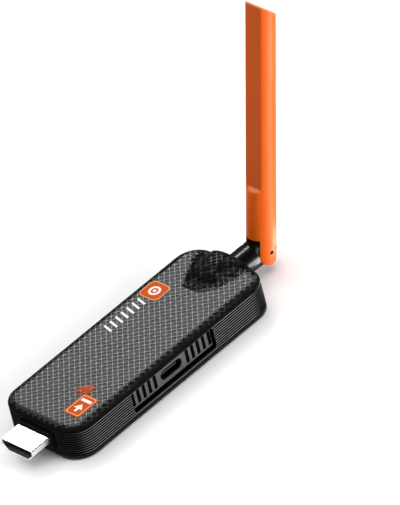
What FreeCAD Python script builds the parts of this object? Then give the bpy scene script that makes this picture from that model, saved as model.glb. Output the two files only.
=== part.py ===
# Wireless HDMI transmitter: a plug-in stick with a swivelling, folding paddle antenna.
# Millimetres. +X runs from the HDMI plug to the antenna, -Y is the side with the power socket, +Z is up.
# The origin is the middle of the flat underside.
import FreeCAD, Part
import math
import os

os.makedirs("parts", exist_ok=True)

# Casing, outside
body_length = 91.5
body_width = 35.0
body_height = 12.2
plan_corner = 8.2
shoulder_width = 3.2
shoulder_drop = 1.1
bottom_lip = 1.7
bottom_edge = 0.6
parting_height = 0.4
parting_depth = 0.35

# Casing, inside
wall = 2.0
floor = 1.3
spigot_gap = 0.1
spigot_thickness = 1.1
spigot_reach = 1.6
spigot_opening_gap = 1.2
part_gap = 0.1

# Ribs round the side frame, counted as the grooves between them
groove_count = 9
groove_pitch = 0.92
groove_depth = 0.35
groove_mouth = 0.56
groove_root = 0.24

# Window in each long side, and the vent panel that shows through it
port_x = -0.85
window_length = 38.2
window_height = 7.7
window_rise = 0.4
window_corner = 0.9
window_rim = 0.5
panel_setback = 1.3
panel_shadow_gap = 0.6
panel_flange = 1.0
panel_overlap = 0.9
slot_width = 1.4
slot_length = 5.2
slot_corner = 0.45
slot_pitch = 2.55
slots_each_side = 5
first_slot = 7.45
port_margin = 0.25
port_end_margin = 0.43

# Dome over the antenna's socket: an ellipsoid that breaks through the top
dome_setback = 4.75
dome_y = 0.3
dome_sink = 2.2
dome_half_length = 16.0
dome_half_width = 10.0
dome_half_height = 4.2
dome_skin = 1.3

# HDMI plug
plug_width = 13.9
plug_height = 4.45
plug_foot_width = 9.0
plug_straight = 2.2
plug_corner = 0.5
plug_rise = 0.1
plug_reach = 9.75
plug_length = 15.3
plug_sheet = 0.35
plug_leg_length = 3.2
collar_margin = 0.85
collar_corner = 1.2
collar_reach = 1.45
collar_flange = 1.0
collar_flange_margin = 0.9
cradle_thickness = 1.5
insulator_setback = 0.8
insulator_length = 13.2
insulator_slot_width = 11.9
insulator_slot_height = 2.0
insulator_slot_depth = 6.5
contact_pitch = 1.0
contact_width = 0.5
contact_thickness = 0.15
contact_length = 5.8
contact_setback = 0.4
upper_contacts = 10
lower_contacts = 9
tail_pitch = 0.5
tail_width = 0.25
tail_length = 3.1

# USB-C power socket
socket_width = 8.94
socket_height = 3.2
socket_sheet = 0.3
socket_depth = 7.35
socket_setback = 0.3
socket_leg = 1.0
tongue_width = 6.69
tongue_height = 0.7
tongue_setback = 0.7
tongue_base = 1.0
pad_count = 12
pad_pitch = 0.5
pad_width = 0.25
pad_length = 3.5
pad_thickness = 0.05
pad_setback = 0.6

# Circuit board and what stands on it
board_thickness = 1.0
board_plug_gap = 0.6
board_saddle_gap = 1.3
board_side_gap = 1.8
boss_radius = 2.2
boss_inset_x = 4.1
boss_inset_y = 2.9
screw_radius = 0.75
screw_clearance = 0.03
screw_hole_gap = 0.15
screw_head_radius = 1.4
screw_head_height = 0.8
screw_length = 3.4
screw_end_gap = 1.2
screw_recess_length = 1.7
screw_recess_width = 0.35
screw_recess_depth = 0.4
chip_x = -9.0
sink_y = 0.7
chip_size = 14.0
chip_height = 1.1
pad_margin = 0.5
thermal_pad_height = 0.5
sink_length = 22.0
sink_width = 15.0
sink_base = 0.9
sink_fin_height = 1.6
sink_fin_thickness = 0.8
sink_fins = 7
memory_inset = 11.6
memory_spacing = 11.0
memory_length = 9.0
memory_width = 8.0
memory_height = 0.9
can_gap = 0.9
can_length = 16.0
can_width = 15.0
can_height = 2.2
can_sheet = 0.25
radio_size = 7.0
radio_height = 0.8
crystal_gap = 2.9
crystal_y = 5.5
crystal_length = 3.2
crystal_width = 2.5
crystal_height = 0.7
inductor_gap = 3.38
inductor_can_gap = 0.9
inductor_size = 4.0
inductor_height = 1.8
inductor_spacing = 5.5
capacitor_count = 12
capacitor_pitch = 2.6
capacitor_x = -22.0
capacitor_inset = 2.3
capacitor_length = 1.6
capacitor_width = 0.8
capacitor_height = 0.8

# Aerial socket on the board, its plug and the lead to the antenna
aerial_inset = 9.2
aerial_y = 1.6
aerial_base = 3.0
aerial_base_height = 0.4
aerial_post_radius = 0.9
aerial_post_height = 1.3
aerial_plug_radius = 1.6
aerial_plug_height = 1.4
aerial_plug_gap = 0.05
aerial_arm = 0.9
aerial_arm_margin = 0.1
lead_radius = 0.56
lead_start_run = 2.5
lead_end_run = 2.5
lead_end_gap = 0.2

# Antenna's swivel barrel
hinge_reach = 12.85
antenna_drop = 4.6
barrel_radius = 4.65
barrel_edge = 0.6
shoulder_to_pin = 4.6
running_gap = 0.07
journal_radius = 3.0
journal_gap = 0.06
journal_nose = 0.4
saddle_thickness = 2.2
saddle_half_width = 5.0
flange_radius = 5.3
flange_thickness = 2.1
end_float = 0.1
washer_thickness = 0.3
washer_gap = 0.1
tongue_thickness = 5.8
tongue_radius = 4.2
lead_bore = 0.9
lead_bore_web = 0.6

# Antenna's paddle
blade_lean = 15.9
blade_radius = 4.87
blade_length = 85.5
blade_tip_slope = 0.65
facet_offset = 3.46
facet_start = 22.9
facet_foot_slope = 1.0
fork_gap = 0.15
crotch_gap = 0.25
leg_end_radius = 4.5
pin_radius = 0.95
pin_gap = 0.05
pin_setback = 0.9
pin_hole_radius = 0.5
blade_bore = 2.3
blade_tip_wall = 3.5
grommet_start = 5.0
grommet_length = 3.0
grommet_gap = 0.05
radiator_end_gap = 2.0
radiator_length = 35.0
radiator_gap = 0.4
radiator_bore = 0.7
radiator_floor = 1.0

# Tool settings: how far a cut runs past a face, how near two lengths count as the same, least fillet
overshoot = 1.0
tolerance = 1e-6
least_fillet = 0.1

# Places worked out from the sizes above
half_length = body_length / 2
half_width = body_width / 2
frame_top = body_height - shoulder_drop
frame_bottom = bottom_lip
step_top = frame_bottom + parting_height
rib_middle = (step_top + frame_top) / 2
window_z = rib_middle + window_rise
plug_z = rib_middle + plug_rise
antenna_z = body_height - antenna_drop
hinge_x = half_length + hinge_reach
dome_x = half_length - dome_setback
dome_z = body_height - dome_sink
inner_x = half_length - wall
inner_y = half_width - wall
board_top = window_z - socket_height / 2
board_bottom = board_top - board_thickness
plug_tip = -half_length - plug_reach
plug_back = plug_tip + plug_length
plug_bottom = plug_z - plug_height / 2
collar_inside = -inner_x + part_gap / 2
washer_start = inner_x - part_gap / 2 - washer_thickness
flange_start = washer_start - washer_gap - flange_thickness
saddle_end = flange_start - end_float
saddle_start = saddle_end - saddle_thickness
journal_start = saddle_start - journal_nose
lead_bore_end = hinge_x - pin_radius - pin_gap - lead_bore_web
board_start = plug_back + board_plug_gap
board_end = saddle_start - board_saddle_gap
board_half_width = inner_y - board_side_gap
screw_end = board_top + screw_head_height - screw_length
boss_x_low = board_start + boss_inset_x
boss_x_high = board_end - boss_inset_x
boss_y = board_half_width - boss_inset_y
memory_x = board_start + memory_inset
aerial_x = board_end - aerial_inset
can_x = aerial_x - aerial_base / 2 - can_gap - can_length / 2
crystal_x = can_x - can_length / 2 - crystal_gap - crystal_length / 2
inductor_x = port_x + socket_width / 2 + inductor_gap + inductor_size / 2
inductor_y = -can_width / 2 - inductor_can_gap - inductor_size / 2
capacitor_y = board_half_width - capacitor_inset
panel_front = half_width - panel_setback
panel_length = window_length + 2 * panel_overlap
panel_bottom = window_z - window_height / 2 - panel_overlap
panel_top = min(window_z + window_height / 2 + panel_overlap, frame_top - part_gap)
shoulder_x = hinge_x - shoulder_to_pin
fork_slot = tongue_thickness + 2 * fork_gap
crotch = tongue_radius + crotch_gap
blade_bore_end = blade_length - blade_tip_wall
radiator_start = blade_bore_end - radiator_end_gap - radiator_length
radiator_radius = blade_bore - radiator_gap
hinge = FreeCAD.Vector(hinge_x, 0, antenna_z)
along_x = FreeCAD.Vector(1, 0, 0)
along_y = FreeCAD.Vector(0, 1, 0)
along_z = FreeCAD.Vector(0, 0, 1)
spigot_inset = wall + spigot_gap


def box(x0, x1, y0, y1, z0, z1):
    return Part.makeBox(x1 - x0, y1 - y0, z1 - z0, FreeCAD.Vector(x0, y0, z0))


def block(x, y, z, length, width, height):
    """A box centred on x and y that stands on z."""
    return box(x - length / 2, x + length / 2, y - width / 2, y + width / 2, z, z + height)


def rod_x(radius, x0, x1):
    return Part.makeCylinder(radius, x1 - x0, FreeCAD.Vector(x0, 0, antenna_z), along_x)


def rod_z(radius, x, y, z0, z1):
    return Part.makeCylinder(radius, z1 - z0, FreeCAD.Vector(x, y, z0), along_z)


def join(shapes):
    whole = shapes[0].multiFuse(shapes[1:])
    return whole.removeSplitter()


def turned(shape, degrees):
    copy = shape.copy()
    copy.rotate(FreeCAD.Vector(0, 0, 0), along_z, degrees)
    return copy


def moved(shape, x, y, z=0):
    copy = shape.copy()
    copy.translate(FreeCAD.Vector(x, y, z))
    return copy


def polygon(points):
    """A flat face in the XZ plane through the given (x, z) points."""
    corners = [FreeCAD.Vector(x, 0, z) for x, z in points]
    return Part.Face(Part.makePolygon(corners + corners[:1]))


def rounded_slab(length, width, corner, z0, z1):
    """A plate with rounded corners in plan, centred on the origin."""
    x = length / 2 - corner
    y = width / 2 - corner
    bars = [box(-x, x, -width / 2, width / 2, z0, z1), box(-length / 2, length / 2, -y, y, z0, z1)]
    posts = [rod_z(corner, sx * x, sy * y, z0, z1) for sx in (-1, 1) for sy in (-1, 1)]
    return join(bars + posts)


def inset_slab(inset, z0, z1):
    """A plate whose edge lies a steady distance inside the casing's outline."""
    return rounded_slab(body_length - 2 * inset, body_width - 2 * inset, plan_corner - inset, z0, z1)


def edge_run(sections):
    """A ring or plate edge: eight stretches round the casing's outline, each with its own section.

    A section is a face in the XZ plane whose x is the distance outwards from a corner's centre.
    The stretches are +X end, +X+Y corner, +Y side, -X+Y corner, -X end, -X-Y corner, -Y side, +X-Y corner.
    """
    x = half_length - plan_corner
    y = half_width - plan_corner
    stretches = []
    ends = [(x, y, 2 * y), (-x, y, 2 * x), (-x, -y, 2 * y), (x, -y, 2 * x)]
    for turn, (corner_x, corner_y, length) in enumerate(ends):
        straight, corner = sections[2 * turn], sections[2 * turn + 1]
        side = straight.extrude(FreeCAD.Vector(0, -length, 0))
        stretches.append(moved(turned(side, 90 * turn), corner_x, corner_y))
        bend = corner.revolve(FreeCAD.Vector(0, 0, 0), along_z, 90)
        stretches.append(moved(turned(bend, 90 * turn), corner_x, corner_y))
    return stretches


def core_block(z0, z1):
    x = half_length - plan_corner
    y = half_width - plan_corner
    return box(-x, x, -y, y, z0, z1)


def spigot(z0, z1):
    """A locating ring inside the frame, open at the window panels, the plug and the antenna."""
    ring = inset_slab(spigot_inset, z0, z1).cut(inset_slab(spigot_inset + spigot_thickness, z0, z1))
    panel_half = panel_length / 2 + part_gap * 2
    collar_half = plug_width / 2 + collar_margin + collar_flange_margin + spigot_opening_gap
    flange_half = flange_radius + spigot_opening_gap
    openings = [
        box(port_x - panel_half, port_x + panel_half, -half_width, half_width, z0, z1),
        box(-half_length, 0, -collar_half, collar_half, z0, z1),
        box(0, half_length, -flange_half, flange_half, z0, z1),
    ]
    return ring.cut(join(openings))


def journal_bore():
    return rod_x(journal_radius + journal_gap, saddle_start - overshoot, saddle_end + overshoot)


def boss_places():
    return [(x, y) for x in (boss_x_low, boss_x_high) for y in (-boss_y, boss_y)]


def bottom_cover():
    rim = polygon([(0, 0), (plan_corner - bottom_edge, 0), (plan_corner, bottom_edge),
                   (plan_corner, bottom_lip), (0, bottom_lip)])
    shape = join(edge_run([rim] * 8) + [core_block(0, bottom_lip)])
    shape = shape.cut(inset_slab(wall + spigot_gap + spigot_thickness, floor, bottom_lip))
    shape = shape.fuse(spigot(floor, bottom_lip + spigot_reach))
    pilot_radius = screw_radius + screw_clearance
    for x, y in boss_places():
        shape = shape.fuse(rod_z(boss_radius, x, y, floor, board_bottom))
        shape = shape.cut(rod_z(pilot_radius, x, y, screw_end - screw_end_gap, board_bottom))
    cradle_x = collar_inside + collar_flange + part_gap * 2
    cradle_half = plug_foot_width / 2 - plug_corner
    cradle_end = cradle_x + cradle_thickness
    shape = shape.fuse(box(cradle_x, cradle_end, -cradle_half, cradle_half, floor, plug_bottom))
    shape = shape.fuse(box(saddle_start, saddle_end, -saddle_half_width, saddle_half_width, floor, antenna_z))
    shape = shape.cut(journal_bore())
    shape = shape.cut(rod_x(flange_radius + part_gap * 3, flange_start - part_gap, inner_x))
    return shape.removeSplitter()


def frame_section(grooved):
    """Half section of the side frame: a wall with a parting step at its foot and, if grooved, the ribs."""
    inner = plan_corner - wall
    points = [(inner, frame_bottom), (plan_corner - parting_depth, frame_bottom),
              (plan_corner - parting_depth, step_top), (plan_corner, step_top)]
    if grooved:
        for k in range(groove_count):
            z = rib_middle + (k - (groove_count - 1) / 2) * groove_pitch
            deep = plan_corner - groove_depth
            points += [(plan_corner, z - groove_mouth / 2), (deep, z - groove_root / 2),
                       (deep, z + groove_root / 2), (plan_corner, z + groove_mouth / 2)]
    points += [(plan_corner, frame_top), (inner, frame_top)]
    return polygon(points)


def slot_prism(x, length, height, corner, y0, y1):
    """A hole through a long side: a rounded rectangle centred on x and the windows' height."""
    u = length / 2 - corner
    v = height / 2 - corner
    shapes = [box(x - u, x + u, y0, y1, window_z - height / 2, window_z + height / 2),
              box(x - length / 2, x + length / 2, y0, y1, window_z - v, window_z + v)]
    for sx in (-1, 1):
        for sz in (-1, 1):
            start = FreeCAD.Vector(x + sx * u, y0, window_z + sz * v)
            shapes.append(Part.makeCylinder(corner, y1 - y0, start, along_y))
    return join(shapes)


def window_block(y0, y1, inset=0.0):
    corner = max(window_corner - inset, slot_corner)
    return slot_prism(port_x, window_length - 2 * inset, window_height - 2 * inset, corner, y0, y1)


def rounded_tube(x0, x1, width, height, corner):
    """A bar along X, centred on the plug, with a rounded rectangular section."""
    u = width / 2 - corner
    v = height / 2 - corner
    shapes = [box(x0, x1, -u, u, plug_z - height / 2, plug_z + height / 2),
              box(x0, x1, -width / 2, width / 2, plug_z - v, plug_z + v)]
    for sy in (-1, 1):
        for sz in (-1, 1):
            start = FreeCAD.Vector(x0, sy * u, plug_z + sz * v)
            shapes.append(Part.makeCylinder(corner, x1 - x0, start, along_x))
    return join(shapes)


def collar_block(x0, x1, margin):
    return rounded_tube(x0, x1, plug_width + 2 * margin, plug_height + 2 * margin, collar_corner)


def side_frame():
    ribbed = frame_section(True)
    plain = frame_section(False)
    shape = join(edge_run([plain, plain, ribbed, ribbed, plain, ribbed, ribbed, plain]))
    land = window_block(inner_y, half_width, -window_rim)
    land = land.common(box(-half_length, half_length, 0, half_width, step_top, frame_top))
    shape = shape.fuse(land).fuse(land.mirror(FreeCAD.Vector(0, 0, 0), along_y))
    shape = shape.cut(window_block(-half_width - overshoot, half_width + overshoot))
    shape = shape.cut(collar_block(-half_length - overshoot, -inner_x + overshoot, collar_margin + part_gap))
    shape = shape.cut(rod_x(barrel_radius + running_gap, inner_x - overshoot, half_length + overshoot))
    return shape.removeSplitter()


def shoulder_section():
    """Half section of the top cover's edge: a quarter ellipse from the frame up to the flat top."""
    start = FreeCAD.Vector(plan_corner, 0, frame_top)
    end = FreeCAD.Vector(plan_corner - shoulder_width, 0, body_height)
    quarter = math.pi / 2
    centre = FreeCAD.Vector(plan_corner - shoulder_width, 0, frame_top)
    ellipse = Part.Ellipse(centre + FreeCAD.Vector(shoulder_width, 0, 0),
                           centre + FreeCAD.Vector(0, 0, shoulder_drop), centre)
    curve = ellipse.toShape(0, quarter)
    top = FreeCAD.Vector(0, 0, body_height)
    foot = FreeCAD.Vector(0, 0, frame_top)
    edges = [curve, Part.makeLine(end, top), Part.makeLine(top, foot), Part.makeLine(foot, start)]
    return Part.Face(Part.Wire(Part.__sortEdges__(edges)))


def ellipsoid(half_x, half_y, half_z):
    matrix = FreeCAD.Matrix()
    matrix.scale(half_x, half_y, half_z)
    ball = Part.makeSphere(1.0).transformGeometry(matrix)
    return moved(ball, dome_x, dome_y, dome_z)


def top_cover():
    section = shoulder_section()
    shape = join(edge_run([section] * 8) + [core_block(frame_top, body_height)])
    keep = box(0, half_length, -half_width, half_width, frame_top, body_height + dome_half_height)
    dome = ellipsoid(dome_half_length, dome_half_width, dome_half_height).common(keep)
    shape = shape.fuse(dome)
    hollow = box(0, inner_x, -half_width, half_width, frame_top, body_height + dome_half_height)
    inner = ellipsoid(dome_half_length - dome_skin, dome_half_width - dome_skin, dome_half_height - dome_skin)
    shape = shape.cut(inner.common(hollow))
    shape = shape.fuse(spigot(frame_top - spigot_reach, frame_top))
    saddle = [saddle_start, saddle_end, -saddle_half_width, saddle_half_width]
    shape = shape.fuse(box(*saddle, antenna_z, frame_top))
    shape = shape.fuse(box(*saddle, frame_top, body_height + dome_half_height).common(dome))
    shape = shape.cut(journal_bore())
    shape = shape.cut(rod_x(flange_radius + part_gap * 2, flange_start - part_gap, inner_x))
    shape = shape.cut(rod_x(barrel_radius + running_gap, inner_x - part_gap, half_length + overshoot))
    return shape.removeSplitter()


def vent_panel(side, with_port):
    """A flanged plate behind a window: a raised face, upright slots and, on one side, the port's mouth."""
    half = panel_length / 2
    flange = box(port_x - half, port_x + half, inner_y - panel_flange, inner_y, panel_bottom, panel_top)
    shape = flange.fuse(window_block(inner_y - panel_flange, panel_front, panel_shadow_gap))
    y0 = inner_y - panel_flange - overshoot
    y1 = half_width
    for k in range(slots_each_side):
        for direction in (-1, 1):
            x = port_x + direction * (first_slot + k * slot_pitch)
            shape = shape.cut(slot_prism(x, slot_width, slot_length, slot_corner, y0, y1))
    if with_port:
        shape = shape.cut(socket_bar(port_margin, port_end_margin, y0, y1))
    shape = shape.removeSplitter()
    if side < 0:
        shape = shape.mirror(FreeCAD.Vector(0, 0, 0), along_y)
    return shape


def plug_profile(offset, x):
    """The plug's outline seen from its tip, moved inwards by offset, as a face at x."""
    half_top = plug_width / 2
    half_foot = plug_foot_width / 2
    top = plug_z + plug_height / 2
    knee = top - plug_straight
    points = [(-half_foot, plug_bottom), (half_foot, plug_bottom), (half_top, knee), (half_top, top),
              (-half_top, top), (-half_top, knee)]
    corners = [FreeCAD.Vector(x, y, z) for y, z in points]
    outline = Part.makePolygon(corners + corners[:1])
    if offset:
        outline = outline.makeOffset2D(-offset, 2)
    return Part.Face(outline)


def plug_bar(offset, x0, x1):
    bar = plug_profile(offset, x0).extrude(FreeCAD.Vector(x1 - x0, 0, 0))
    edges = [e for e in bar.Edges if abs(e.BoundBox.XLength - (x1 - x0)) < tolerance]
    return bar.makeFillet(max(plug_corner - offset, least_fillet), edges)


def hdmi_shell():
    shape = plug_bar(0, plug_tip, plug_back)
    shape = shape.cut(plug_bar(plug_sheet, plug_tip - overshoot, plug_back + overshoot))
    leg_end = plug_back + plug_leg_length
    for side in (-1, 1):
        outer = side * plug_width / 2
        inner = side * (plug_width / 2 - plug_sheet)
        leg_top = plug_z + plug_height / 2 - plug_corner
        leg = box(plug_back, leg_end, min(outer, inner), max(outer, inner), board_top, leg_top)
        shape = shape.fuse(leg)
    return shape.removeSplitter()


def hdmi_insulator():
    start = plug_tip + insulator_setback
    shape = plug_bar(plug_sheet + part_gap / 2, start, start + insulator_length)
    half = insulator_slot_width / 2
    top = plug_z + insulator_slot_height / 2
    slot = box(start - overshoot, start + insulator_slot_depth, -half, half, top - insulator_slot_height, top)
    return shape.cut(slot)


def hdmi_contacts():
    middle = plug_tip + insulator_setback + contact_setback + contact_length / 2
    solids = []
    for count, z in ((upper_contacts, plug_z + insulator_slot_height / 2 - contact_thickness),
                     (lower_contacts, plug_z - insulator_slot_height / 2)):
        for k in range(count):
            y = (k - (count - 1) / 2) * contact_pitch
            solids.append(block(middle, y, z, contact_length, contact_width, contact_thickness))
    back = plug_tip + insulator_setback + insulator_length
    tails = upper_contacts + lower_contacts
    for k in range(tails):
        y = (k - (tails - 1) / 2) * tail_pitch
        solids.append(block(back + tail_length / 2, y, board_top, tail_length, tail_width, contact_thickness))
    return Part.makeCompound(solids)


def hdmi_collar():
    shape = collar_block(-half_length - collar_reach, collar_inside, collar_margin)
    flange_margin = collar_margin + collar_flange_margin
    shape = shape.fuse(collar_block(collar_inside, collar_inside + collar_flange, flange_margin))
    hole_start = -half_length - collar_reach - overshoot
    hole = plug_bar(-part_gap / 2, hole_start, collar_inside + collar_flange + overshoot)
    return shape.cut(hole).removeSplitter()


def socket_bar(margin, end_margin, y0, y1):
    """A bar along Y with the power socket's section, half round at both ends, grown above and below and at its ends."""
    radius = socket_height / 2 + margin
    reach = socket_width / 2 + end_margin - radius
    shapes = [box(port_x - reach, port_x + reach, y0, y1, window_z - radius, window_z + radius)]
    for side in (-1, 1):
        start = FreeCAD.Vector(port_x + side * reach, y0, window_z)
        shapes.append(Part.makeCylinder(radius, y1 - y0, start, along_y))
    return join(shapes)


def usb_c_shell():
    y0 = -panel_front + socket_setback
    y1 = y0 + socket_depth
    shape = socket_bar(0, 0, y0, y1)
    shape = shape.cut(socket_bar(-socket_sheet, -socket_sheet, y0 - overshoot, y1 + overshoot))
    for side in (-1, 1):
        for y in (-board_half_width + socket_leg, y1 - socket_leg):
            x = port_x + side * (socket_width / 2 - socket_sheet / 2)
            leg = block(x, y, board_top, socket_sheet, socket_leg, socket_height / 2)
            shape = shape.fuse(leg)
    return shape.removeSplitter()


def usb_c_tongue():
    y0 = -panel_front + socket_setback
    y1 = y0 + socket_depth
    half = tongue_height / 2
    tongue = box(port_x - tongue_width / 2, port_x + tongue_width / 2, y0 + tongue_setback, y1 - tongue_base,
                 window_z - half, window_z + half)
    inset = -socket_sheet - part_gap / 2
    base = socket_bar(inset, inset, y1 - tongue_base, y1)
    return tongue.fuse(base).removeSplitter()


def usb_c_contacts():
    y = -panel_front + socket_setback + tongue_setback + pad_setback + pad_length / 2
    solids = []
    for z in (window_z + tongue_height / 2, window_z - tongue_height / 2 - pad_thickness):
        for k in range(pad_count):
            x = port_x + (k - (pad_count - 1) / 2) * pad_pitch
            solids.append(block(x, y, z, pad_width, pad_length, pad_thickness))
    return Part.makeCompound(solids)


def main_board():
    shape = box(board_start, board_end, -board_half_width, board_half_width, board_bottom, board_top)
    for x, y in boss_places():
        shape = shape.cut(rod_z(screw_radius + screw_hole_gap, x, y, board_bottom, board_top))
    return shape


def board_screws():
    solids = []
    head_top = board_top + screw_head_height
    recess = (screw_recess_length, screw_recess_width)
    for x, y in boss_places():
        screw = rod_z(screw_head_radius, x, y, board_top, head_top)
        screw = screw.fuse(rod_z(screw_radius, x, y, screw_end, board_top))
        for length, width in (recess, recess[::-1]):
            screw = screw.cut(block(x, y, head_top - screw_recess_depth, length, width, screw_recess_depth))
        solids.append(screw.removeSplitter())
    return Part.makeCompound(solids)


def video_chip():
    return block(chip_x, sink_y, board_top, chip_size, chip_size, chip_height)


def thermal_pad():
    size = chip_size - 2 * pad_margin
    return block(chip_x, sink_y, board_top + chip_height, size, size, thermal_pad_height)


def heat_sink():
    z = board_top + chip_height + thermal_pad_height
    shape = block(chip_x, sink_y, z, sink_length, sink_width, sink_base)
    pitch = (sink_width - sink_fin_thickness) / (sink_fins - 1)
    for k in range(sink_fins):
        y = sink_y + (k - (sink_fins - 1) / 2) * pitch
        shape = shape.fuse(block(chip_x, y, z, sink_length, sink_fin_thickness, sink_base + sink_fin_height))
    return shape.removeSplitter()


def memory_chips():
    return Part.makeCompound([block(memory_x, y, board_top, memory_length, memory_width, memory_height)
                              for y in (-memory_spacing / 2, memory_spacing / 2)])


def shield_can():
    outer = block(can_x, 0, board_top, can_length, can_width, can_height)
    return outer.cut(block(can_x, 0, board_top, can_length - 2 * can_sheet, can_width - 2 * can_sheet,
                           can_height - can_sheet))


def radio_chip():
    return block(can_x, 0, board_top, radio_size, radio_size, radio_height)


def clock_crystal():
    return block(crystal_x, crystal_y, board_top, crystal_length, crystal_width, crystal_height)


def power_inductors():
    places = [inductor_x, inductor_x + inductor_spacing]
    return Part.makeCompound([block(x, inductor_y, board_top, inductor_size, inductor_size, inductor_height)
                              for x in places])


def capacitors():
    places = [capacitor_x + k * capacitor_pitch for k in range(capacitor_count)]
    return Part.makeCompound([block(x, capacitor_y, board_top, capacitor_length, capacitor_width, capacitor_height)
                              for x in places])


def aerial_socket():
    base = block(aerial_x, aerial_y, board_top, aerial_base, aerial_base, aerial_base_height)
    return base.fuse(rod_z(aerial_post_radius, aerial_x, aerial_y, board_top, board_top + aerial_post_height))


def aerial_plug():
    z0 = board_top + aerial_base_height
    z1 = z0 + aerial_plug_height
    hole = rod_z(aerial_post_radius + aerial_plug_gap, aerial_x, aerial_y, z0, board_top + aerial_post_height)
    cap = rod_z(aerial_plug_radius, aerial_x, aerial_y, z0, z1).cut(hole)
    half = lead_radius + aerial_arm_margin
    arm = box(aerial_x, aerial_x + aerial_plug_radius + aerial_arm, aerial_y - half, aerial_y + half, z0, z1)
    return cap.fuse(arm.cut(rod_z(aerial_plug_radius, aerial_x, aerial_y, z0, z1))).removeSplitter()


def rounded_route(points):
    """A wire of straight runs joined by tangent arcs, each as large as its two runs allow."""
    edges = []
    last = points[0]
    for before, corner, after in zip(points, points[1:], points[2:]):
        back = before - corner
        ahead = after - corner
        half_turn = (math.pi - back.getAngle(ahead)) / 2
        radius = 0.45 * min(back.Length, ahead.Length) / math.tan(half_turn)
        print("lead arc radius", round(radius, 2), "for a lead of radius", lead_radius)
        trim = radius * math.tan(half_turn)
        back.normalize()
        ahead.normalize()
        start = corner + back * trim
        end = corner + ahead * trim
        inward = (back + ahead).normalize()
        middle = corner + inward * (radius / math.cos(half_turn) - radius)
        edges.append(Part.makeLine(last, start))
        edges.append(Part.Arc(start, middle, end).toShape())
        last = end
    edges.append(Part.makeLine(last, points[-1]))
    return Part.Wire(edges)


def board_lead():
    """The thin screened lead from the board's aerial plug to the mouth of the swivel barrel."""
    x0 = aerial_x + aerial_plug_radius + aerial_arm
    z0 = board_top + aerial_base_height + aerial_plug_height / 2
    x1 = journal_start - part_gap
    route = rounded_route([FreeCAD.Vector(x0, aerial_y, z0), FreeCAD.Vector(x0 + lead_start_run, aerial_y, z0),
                           FreeCAD.Vector(x1 - lead_end_run, 0, antenna_z), FreeCAD.Vector(x1, 0, antenna_z)])
    circle = Part.makeCircle(lead_radius, FreeCAD.Vector(x0, aerial_y, z0), along_x)
    return route.makePipeShell([Part.Wire(circle)], True, False)


def swivel_barrel():
    shape = rod_x(journal_radius, journal_start, flange_start)
    shape = shape.fuse(rod_x(flange_radius, flange_start, flange_start + flange_thickness))
    outer = rod_x(barrel_radius, flange_start + flange_thickness, shoulder_x)
    rim = [e for e in outer.Edges if abs(e.BoundBox.XMin - shoulder_x) < tolerance]
    shape = shape.fuse(outer.makeChamfer(barrel_edge, rim))
    half = tongue_thickness / 2
    tongue = box(shoulder_x, hinge_x, -half, half, antenna_z - tongue_radius, antenna_z + tongue_radius)
    tongue = tongue.fuse(Part.makeCylinder(tongue_radius, tongue_thickness,
                                           FreeCAD.Vector(hinge_x, -half, antenna_z), along_y))
    shape = shape.fuse(tongue.common(rod_x(barrel_radius, shoulder_x, hinge_x + tongue_radius)))
    shape = shape.cut(rod_x(lead_bore, journal_start - overshoot, lead_bore_end))
    pin_hole = Part.makeCylinder(pin_radius + pin_gap, tongue_thickness + 2 * overshoot,
                                 FreeCAD.Vector(hinge_x, -half - overshoot, antenna_z), along_y)
    return shape.cut(pin_hole).removeSplitter()


def barrel_lead():
    return rod_x(lead_radius, journal_start, lead_bore_end - lead_end_gap)


def friction_washer():
    shape = rod_x(flange_radius, washer_start, washer_start + washer_thickness)
    hole_end = washer_start + washer_thickness + overshoot
    return shape.cut(rod_x(barrel_radius + part_gap, washer_start - overshoot, hole_end))


def leaned(shape):
    """Turn a piece made upright at the hinge to the lean that the antenna is stored at."""
    copy = shape.copy()
    copy.translate(hinge)
    copy.rotate(hinge, along_y, blade_lean)
    return copy


def upright_rod(radius, z0, z1):
    return Part.makeCylinder(radius, z1 - z0, FreeCAD.Vector(0, 0, z0), along_z)


def antenna_blade():
    reach = blade_radius * 2
    shape = upright_rod(blade_radius, -reach, blade_length + reach)
    foot = box(-reach, reach, -reach, reach, 0, blade_length + 2 * reach)
    foot = foot.fuse(Part.makeCylinder(leg_end_radius, 2 * reach, FreeCAD.Vector(0, -reach, 0), along_y))
    shape = shape.common(foot)
    shape = shape.cut(box(-reach, reach, -fork_slot / 2, fork_slot / 2, -reach, crotch))
    foot_drop = facet_foot_slope * (reach - facet_offset)
    facet = [(-facet_offset, facet_start), (-facet_offset, blade_length + 2 * reach),
             (-reach, blade_length + 2 * reach), (-reach, facet_start - foot_drop)]
    shape = shape.cut(moved(polygon(facet), 0, -reach).extrude(FreeCAD.Vector(0, 2 * reach, 0)))
    rise = blade_tip_slope * reach
    tip = [(-reach, blade_length + rise), (reach, blade_length - rise), (reach, blade_length + 3 * reach),
           (-reach, blade_length + 3 * reach)]
    above = moved(polygon(tip), 0, -reach).extrude(FreeCAD.Vector(0, 2 * reach, 0))
    shape = shape.cut(above)
    shape = shape.cut(upright_rod(blade_bore, crotch - overshoot, blade_bore_end))
    half_pin = blade_radius - pin_setback
    pin_bore = Part.makeCylinder(pin_radius + pin_gap / 2, 2 * half_pin, FreeCAD.Vector(0, -half_pin, 0), along_y)
    pin_hole = Part.makeCylinder(pin_hole_radius, 2 * reach, FreeCAD.Vector(0, -reach, 0), along_y)
    return leaned(shape.cut(pin_bore).cut(pin_hole).removeSplitter())


def hinge_pin():
    half_pin = blade_radius - pin_setback - part_gap / 2
    return leaned(Part.makeCylinder(pin_radius, 2 * half_pin, FreeCAD.Vector(0, -half_pin, 0), along_y))


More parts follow.
